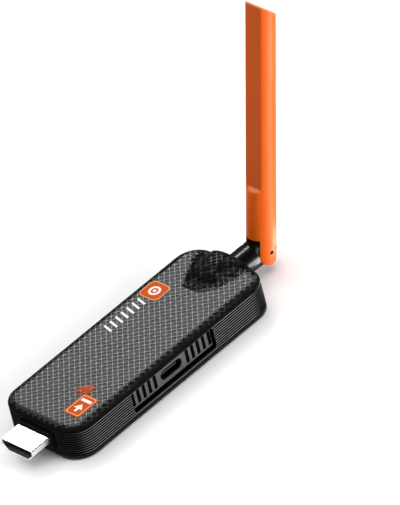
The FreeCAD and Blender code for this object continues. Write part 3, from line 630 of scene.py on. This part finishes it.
def makeTextureTree(tiles, target, material, s):
    tree, given, out = newGroup(
        "diamondTexture", "GeometryNodeTree",
        [("Geometry", geometrySocket, None), ("Pitch", floatSocket, None), ("Columns", intSocket, None),
         ("Rows", intSocket, None), ("Phase X", floatSocket, None), ("Phase Y", floatSocket, None),
         ("Middle X", floatSocket, None), ("Middle Y", floatSocket, None),
         ("Length X", floatSocket, None), ("Length Y", floatSocket, None), ("Corner", floatSocket, None),
         ("Skirt", floatSocket, None)],
        [("Geometry", geometrySocket)])
    place = addNode(tree, "GeometryNodeInputPosition").outputs[0]
    sizeX, sizeY = [calc(tree, "MULTIPLY", given["Pitch"], calc(tree, "SUBTRACT", given[count], 1))
                    for count in ("Columns", "Rows")]
    joined = addNode(tree, "GeometryNodeJoinGeometry")
    phases = given["Phase X"], given["Phase Y"]
    halfway = [calc(tree, "MULTIPLY_ADD", given["Pitch"], 0.5, phase) for phase in phases]
    for tile, shiftX, shiftY in ((tiles[0], phases[0], halfway[1]), (tiles[1], halfway[0], phases[1])):
        source = addNode(tree, "GeometryNodeObjectInfo", {"Object": tile}).outputs["Geometry"]
        grid = addNode(tree, "GeometryNodeMeshGrid", {
            "Size X": sizeX, "Size Y": sizeY, "Vertices X": given["Columns"], "Vertices Y": given["Rows"]})
        shift = addNode(tree, "ShaderNodeCombineXYZ", {"X": shiftX, "Y": shiftY}).outputs[0]
        laid = addNode(tree, "GeometryNodeSetPosition", {"Geometry": grid.outputs["Mesh"], "Offset": shift})
        xyz = splitXyz(tree, place)
        over = []
        for axis, middle, length in (("X", "Middle X", "Length X"), ("Y", "Middle Y", "Length Y")):
            away = calc(tree, "ABSOLUTE", calc(tree, "SUBTRACT", xyz[axis], given[middle]))
            inner = calc(tree, "SUBTRACT", calc(tree, "MULTIPLY", given[length], 0.5), given["Corner"])
            over.append(calc(tree, "MAXIMUM", calc(tree, "SUBTRACT", away, inner), 0.0))
        outside = addNode(tree, "FunctionNodeCompare", {0: hypotenuse(tree, *over), 1: given["Corner"]},
                          operation="GREATER_THAN")
        kept = addNode(tree, "GeometryNodeDeleteGeometry", {
            "Geometry": laid.outputs[0], "Selection": outside.outputs[0]}, domain="POINT")
        placed = addNode(tree, "GeometryNodeInstanceOnPoints", {
            "Points": kept.outputs[0], "Instance": source})
        tree.links.new(placed.outputs[0], joined.inputs[0])
    real = addNode(tree, "GeometryNodeRealizeInstances", {0: joined.outputs[0]}).outputs[0]
    merged = addNode(tree, "GeometryNodeMergeByDistance", {
        "Geometry": real, "Distance": s["mergeWithin"]}).outputs[0]
    # the sheet is laid on the cover: each point drops from above to the surface and keeps its own height
    height = splitXyz(tree, place)["Z"]
    cover = addNode(tree, "GeometryNodeObjectInfo", {"Object": target}).outputs["Geometry"]
    above = addNode(tree, "ShaderNodeVectorMath", {0: place, 1: (0, 0, s["dropFrom"])},
                    operation="ADD").outputs[0]
    ray = addNode(tree, "GeometryNodeRaycast", {
        "Target Geometry": cover, "Source Position": above, "Ray Direction": (0, 0, -1),
        "Ray Length": s["dropLength"]})
    lift = addNode(tree, "ShaderNodeVectorMath", {0: ray.outputs["Hit Normal"], "Scale": height},
                   operation="SCALE").outputs[0]
    landed = addNode(tree, "ShaderNodeVectorMath", {0: ray.outputs["Hit Position"], 1: lift},
                     operation="ADD").outputs[0]
    sheet = addNode(tree, "GeometryNodeSetPosition", {"Geometry": merged, "Position": landed}).outputs[0]
    # its border is folded down into the cover
    faces = addNode(tree, "GeometryNodeInputMeshEdgeNeighbors").outputs[0]
    border = addNode(tree, "FunctionNodeCompare", {2: faces, 3: 1}, data_type="INT",
                     operation="EQUAL").outputs[0]
    down = addNode(tree, "ShaderNodeCombineXYZ", {"Z": calc(tree, "MULTIPLY", given["Skirt"], -1.0)})
    skirt = addNode(tree, "GeometryNodeExtrudeMesh", {
        "Mesh": sheet, "Selection": border, "Offset": down.outputs[0], "Offset Scale": 1.0}, mode="EDGES")
    real = addNode(tree, "GeometryNodeRealizeInstances", {0: skirt.outputs[0]}).outputs[0]
    finished = addNode(tree, "GeometryNodeSetMaterial", {"Geometry": real, "Material": material}).outputs[0]
    tree.links.new(finished, out["Geometry"])
    return tree


def growMesh(name, tree, sizes):
    # runs a geometry tree and keeps its result as a plain mesh
    grown = addObject(name, bpy.data.meshes.new(name))
    modifier = grown.modifiers.new("grow", "NODES")
    modifier.node_group = tree
    for item in tree.interface.items_tree:
        if item.in_out == "INPUT" and item.name in sizes:
            modifier[item.identifier] = sizes[item.name]
    bpy.context.view_layer.update()
    depsgraph = bpy.context.evaluated_depsgraph_get()
    mesh = bpy.data.meshes.new_from_object(grown.evaluated_get(depsgraph))
    grown.modifiers.clear()
    grown.data = mesh
    return grown


def latticePlastic(name, dark, light, roughness, specular, s, coat=0.0, sharpness=1.0, patchy=False):
    # the crests are polished, so glossier than the pits, and painted paler as highlight; the ridge value also
    # paints shade on the pits
    material, tree, shader = newMaterial(name)
    grain = useGroup(tree, grainGroup, s["grain"])
    ridge = addNode(tree, "ShaderNodeAttribute", attribute_name="ridge").outputs["Fac"]
    shade = calc(tree, "POWER", ridge, sharpness)
    if patchy:
        # patches of painted glints
        cloud = addNode(tree, "ShaderNodeTexNoise", {
            "Vector": objectPlace(tree), "Scale": s["patchScale"], "Detail": 1.0}).outputs["Fac"]
        shade = calc(tree, "MULTIPLY", calc(tree, "ADD", shade, s["patchBase"]),
                     ramp(tree, cloud, s["patchSpan"]))
    tree.links.new(blendColour(tree, shade, dark, light), shader.inputs["Base Color"])
    tree.links.new(ramp(tree, ridge, ends=roughness), shader.inputs["Roughness"])
    tree.links.new(grain["Normal"], shader.inputs["Normal"])
    shader.inputs["Specular IOR Level"].default_value = specular
    if coat:
        tree.links.new(ramp(tree, ridge, ends=(0.0, coat)), shader.inputs["Coat Weight"])
        shader.inputs["Coat Roughness"].default_value = s["coatRoughness"]
    return material


def textureFinishes(s):
    dark = (0.003, 0.003, 0.0033)
    # dome, rim and rimPit are painted dark as shade, with patches of painted glints; the edge finish's pale
    # crests are painted highlight
    return {
        "crest": latticePlastic("crestPlastic", dark, (0.016, 0.016, 0.0165), (0.42, 0.2), 0.22, s,
                                coat=0.6),
        "pit": latticePlastic("pitPlastic", dark, (0.024, 0.024, 0.024), (0.42, 0.3), 0.2, s),
        "rimPit": mouldedPlastic("rimPitPlastic", (0.001, 0.001, 0.001), (0.002, 0.002, 0.002), (0.7, 0.8),
                                 specular=0.1),
        "dome": latticePlastic("domePlastic", (0.001, 0.001, 0.0014), (0.075, 0.075, 0.078), (0.9, 0.5),
                               0.05, s, sharpness=2.0, patchy=True),
        "edge": latticePlastic("edgePlastic", dark, (0.11, 0.11, 0.11), (0.7, 0.5), 0.1, s),
        "rim": latticePlastic("rimPlastic", dark, (0.06, 0.06, 0.062), (0.8, 0.5), 0.08, s, patchy=True),
    }


def finishAt(centre, onCrest, s):
    # the finish of one face of the texture, by its place and by whether it is a ridge's crest; the dome and
    # shoulder finishes are painted shade, the lit patch near the dome's top painted highlight
    x, y, z = centre
    ragged = s["ragged"] * noise.noise(Vector((x, y, 0)) / s["raggedSize"])
    if y > s["raggedMoreFrom"]:
        ragged *= s["raggedMore"]
    oval = sum(((v - m) / h) ** 2 for v, m, h in zip((x, y), s["domeMiddle"], s["domeHalf"]))
    lineX, lineY, slope = s["domeLine"]
    onDome = oval + ragged < 1 and y < lineY + slope * (x - lineX) + ragged * s["raggedLine"]
    inLitPatch = all(low < v < high for v, low, high in zip((x, y), s["litPatchLow"], s["litPatchHigh"]))
    if inLitPatch and x - y + ragged * s["raggedLitPatch"] < s["litPatchCut"]:
        return "edge" if onCrest else "dome"
    if onDome or x > s["dullFrom"]:
        return "dome"
    if s["brightFrom"] < y < s["brightTo"]:
        if not onCrest:
            return "pit"
        return "crest" if x < s["dimFrom"] and z < flatTop + s["risenFrom"] else "edge"
    if not onCrest:
        return "rimPit"
    if y < 0:
        return "rim"
    return "dome" if x > s["rimDullFrom"] else "edge"


def makeTexture(s):
    high, low = s["crossingHeight"], s["lowCrossingHeight"]
    bright, dim = s["crossingShade"], s["lowCrossingShade"]
    tiles = [makeTile("darkPit", s, (high, low), (bright, dim), 0.0),
             makeTile("palePit", s, (low, high), (dim, bright), s["paleFloorShade"])]
    finishes = textureFinishes(s)
    tree = makeTextureTree(tiles, nodes["top_cover"], finishes["crest"], s)
    # odd numbers of columns and rows, so that one crossing is in the middle, and a few to spare
    count = [2 * math.ceil(s[k] / s["pitch"] / 2) + 3 for k in ("lengthX", "lengthY")]
    sheet = growMesh("top_texture", tree, {
        "Pitch": s["pitch"], "Columns": count[0], "Rows": count[1], "Phase X": s["phaseX"],
        "Phase Y": s["phaseY"], "Middle X": s["middleX"], "Middle Y": s["middleY"], "Length X": s["lengthX"],
        "Length Y": s["lengthY"], "Corner": s["corner"], "Skirt": s["skirt"]})
    sheet.data.materials.clear()
    for material in finishes.values():
        sheet.data.materials.append(material)
    order = list(finishes)
    for face, crest in zip(sheet.data.polygons, sheet.data.attributes["crest"].data):
        face.material_index = order.index(finishAt(face.center, crest.value, s))
        face.use_smooth = False
    for tile in tiles:
        bpy.data.objects.remove(tile)
    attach(sheet, "casing")
    print("top texture:", len(sheet.data.polygons), "faces")


makeTexture(textureSettings)


# Printed marks: thin raised plates of ink on top of the texture
printSettings = {
    "base": flatTop - 0.03 * mm,
    "face": flatTop + 0.18 * mm,
    "upperFace": flatTop + 0.21 * mm,
    "badgeLow": (17.0 * mm, 6.7 * mm),
    "badgeHigh": (25.0 * mm, 14.9 * mm),
    "badgeCorner": 1.9 * mm,
    "badgeLine": 0.32 * mm,
    "badgeRing": (1.35 * mm, 2.15 * mm),
    "badgeDot": 0.6 * mm,
    "barCount": 7,
    "barsFrom": -1.6 * mm,
    "barPitch": 2.6 * mm,
    "barLow": 8.9 * mm,
    "barHigh": 12.9 * mm,
    "barWidth": 0.8 * mm,
    "barLean": 0.9 * mm,
    "labelLow": (-38.2 * mm, -11.9 * mm),
    "labelHigh": (-28.2 * mm, -5.3 * mm),
    "labelCorner": 0.6 * mm,
    "labelMargin": 0.45 * mm,
    "labelLine": 0.3 * mm,
    "arrowTail": 1.9 * mm,              # from the label's end by the plug
    "arrowNeck": 3.4 * mm,
    "arrowTip": 5.6 * mm,
    "arrowShaft": 0.45 * mm,            # half widths
    "arrowHead": 1.8 * mm,
    "stripeFrom": 3.1 * mm,             # from the label's other end
    "stripeTo": 1.9 * mm,
    "stripeHalf": 2.1 * mm,
    "stripeCorner": 0.1 * mm,
    "signFoot": (-28.3 * mm, -5.9 * mm),
    "signRadii": (1.1 * mm, 2.35 * mm, 3.6 * mm),
    "signStroke": 0.75 * mm,
    "signSpread": 55.0,
    "signHeading": 45.0,
}


def roundedLoop(low, high, corner, steps=6):
    points = []
    for cx, cy, start in ((high[0] - corner, high[1] - corner, 0), (low[0] + corner, high[1] - corner, 90),
                          (low[0] + corner, low[1] + corner, 180), (high[0] - corner, low[1] + corner, 270)):
        for k in range(steps + 1):
            angle = math.radians(start + 90 * k / steps)
            points.append((cx + corner * math.cos(angle), cy + corner * math.sin(angle)))
    return points


def circleLoop(centre, radius, start=0.0, end=360.0, steps=32):
    closed = end - start >= 360
    angles = [math.radians(start + (end - start) * k / steps) for k in range(steps + (not closed))]
    return [(centre[0] + radius * math.cos(a), centre[1] + radius * math.sin(a)) for a in angles]


def arcLoop(centre, inner, outer, start, end, steps=16):
    return circleLoop(centre, outer, start, end, steps) + circleLoop(centre, inner, start, end, steps)[::-1]


def addRings(bm, loop, low, high):
    return [[bm.verts.new((x, y, z)) for x, y in loop] for z in (low, high)]


def addPlate(bm, loop, low, high, hole=None):
    # a flat plate with upright sides; hole is an inner loop with as many points as the outer one
    bottom, top = addRings(bm, loop, low, high)
    turns = [(k, (k + 1) % len(loop)) for k in range(len(loop))]
    if hole:
        innerBottom, innerTop = addRings(bm, hole, low, high)
    for k, j in turns:
        bm.faces.new((bottom[k], bottom[j], top[j], top[k]))
    if not hole:
        bm.faces.new(top)
        bm.faces.new(bottom[::-1])
        return
    for k, j in turns:
        bm.faces.new((top[k], top[j], innerTop[j], innerTop[k]))
        bm.faces.new((innerTop[k], innerTop[j], innerBottom[j], innerBottom[k]))
        bm.faces.new((innerBottom[k], innerBottom[j], bottom[j], bottom[k]))


def finishPiece(name, bm, finish, body):
    mesh = bpy.data.meshes.new(name)
    bmesh.ops.recalc_face_normals(bm, faces=bm.faces)
    bm.to_mesh(mesh)
    bm.free()
    mesh.materials.append(materials[finish])
    piece = addObject(name, mesh)
    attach(piece, body)


def inset(low, high, margin):
    return (low[0] + margin, low[1] + margin), (high[0] - margin, high[1] - margin)


def makePrints(s):
    base, face, upper = s["base"], s["face"], s["upperFace"]
    orange, white, pale = bmesh.new(), bmesh.new(), bmesh.new()

    badge = roundedLoop(s["badgeLow"], s["badgeHigh"], s["badgeCorner"])
    badgeInner = roundedLoop(*inset(s["badgeLow"], s["badgeHigh"], s["badgeLine"]),
                             s["badgeCorner"] - s["badgeLine"])
    addPlate(orange, badge, base, face)
    addPlate(pale, badge, base, upper, badgeInner)
    centre = [(a + b) / 2 for a, b in zip(s["badgeLow"], s["badgeHigh"])]
    addPlate(white, circleLoop(centre, s["badgeRing"][1]), base, upper, circleLoop(centre, s["badgeRing"][0]))
    addPlate(white, circleLoop(centre, s["badgeDot"]), base, upper)

    for k in range(s["barCount"]):
        x = s["barsFrom"] + k * s["barPitch"]
        w, lean = s["barWidth"], s["barLean"]
        addPlate(white, [(x, s["barLow"]), (x + w, s["barLow"]), (x + w + lean, s["barHigh"]),
                         (x + lean, s["barHigh"])], base, upper)

    low, high, corner = s["labelLow"], s["labelHigh"], s["labelCorner"]
    addPlate(orange, roundedLoop(low, high, corner), base, face)
    outer, inner = [roundedLoop(*inset(low, high, margin), corner)
                    for margin in (s["labelMargin"], s["labelMargin"] + s["labelLine"])]
    addPlate(pale, outer, base, upper, inner)
    midY = (low[1] + high[1]) / 2
    tail, neck, tip = [low[0] + s[k] for k in ("arrowTail", "arrowNeck", "arrowTip")]
    shaft, head = s["arrowShaft"], s["arrowHead"]
    arrow = [(tail, midY - shaft), (neck, midY - shaft), (neck, midY - head), (tip, midY),
             (neck, midY + head), (neck, midY + shaft), (tail, midY + shaft)]
    addPlate(white, arrow, base, upper)
    stripe = roundedLoop((high[0] - s["stripeFrom"], midY - s["stripeHalf"]),
                         (high[0] - s["stripeTo"], midY + s["stripeHalf"]), s["stripeCorner"], 2)
    addPlate(white, stripe, base, upper)

    half, turn, spread = s["signStroke"] / 2, s["signHeading"], s["signSpread"]
    for radius in s["signRadii"]:
        arc = arcLoop(s["signFoot"], radius - half, radius + half, turn - spread, turn + spread)
        addPlate(orange, arc, base, face)

    finishPiece("orange_print", orange, "orangeInk", "casing")
    finishPiece("white_print", white, "whiteInk", "casing")
    finishPiece("pale_print", pale, "paleInk", "casing")
    print("printed marks placed")


makePrints(printSettings)


# Copies of the hard-edged nodes with small rounded edges, as moulded parts have
edgeSettings = {
    "weldWithin": 0.0005 * mm,
    "flatWithin": 0.5,          # degrees
    "sharpFrom": 28.0,
    "segments": 3,
    # node: (edge radius, finish, body, slot)
    "pieces": {
        "antenna_blade": (0.28 * mm, "bladePlastic", "antenna", "orange_plastic"),
        "swivel_barrel": (0.12 * mm, "barrelPlastic", "antenna_base", "black_barrel"),
    },
}


def softenEdges(nodeName, radius, finish, body, s):
    bm = bmesh.new()
    bm.from_mesh(nodes[nodeName].data)
    bmesh.ops.remove_doubles(bm, verts=bm.verts, dist=s["weldWithin"])
    bmesh.ops.dissolve_limit(bm, angle_limit=math.radians(s["flatWithin"]), verts=bm.verts, edges=bm.edges)
    mesh = bpy.data.meshes.new("soft_" + nodeName)
    bm.to_mesh(mesh)
    bm.free()
    if "custom_normal" in mesh.attributes:
        mesh.attributes.remove(mesh.attributes["custom_normal"])
    mesh.materials.clear()
    mesh.materials.append(materials[finish])
    mesh.shade_smooth()
    piece = addObject("soft_" + nodeName, mesh)
    bevel = piece.modifiers.new("roundEdges", "BEVEL")
    bevel.width = radius
    bevel.segments = s["segments"]
    bevel.limit_method = "ANGLE"
    bevel.angle_limit = math.radians(s["sharpFrom"])
    bevel.use_clamp_overlap = False
    bevel.harden_normals = True
    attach(piece, body)
    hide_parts(nodeName)


for nodeName, (radius, finish, body, slot) in edgeSettings["pieces"].items():
    softenEdges(nodeName, radius, finish, body, edgeSettings)
print("edges rounded on", len(edgeSettings["pieces"]), "pieces")
